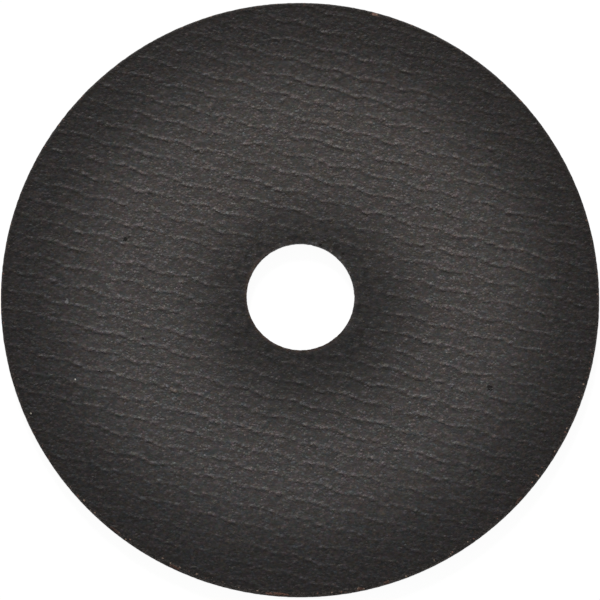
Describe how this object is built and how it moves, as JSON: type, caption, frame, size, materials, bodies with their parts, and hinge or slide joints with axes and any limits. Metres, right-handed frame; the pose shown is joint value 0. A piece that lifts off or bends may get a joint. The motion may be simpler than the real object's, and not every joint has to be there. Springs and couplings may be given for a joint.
{
  "type": "abrasive disc",
  "caption": "Flat resin-bonded cutting disc with a plain bore, black on its faces with a woven mesh showing through, and brown grain bare at its edges.",
  "frame": {"origin": "centre of the bore, at the lower face that the disc lies on", "axes": "+Z along the spindle's axis towards the face in the picture, +X to the picture's right and +Y to its top"},
  "size_m": [0.125, 0.125, 0.0025],
  "materials": {
    "bonded_abrasive": "warm black resin skin over grain, satin, with the imprint of a woven glass mesh"
  },
  "bodies": {
    "root": {"abrasive_disc": "bonded_abrasive"}
  },
  "joints": []
}
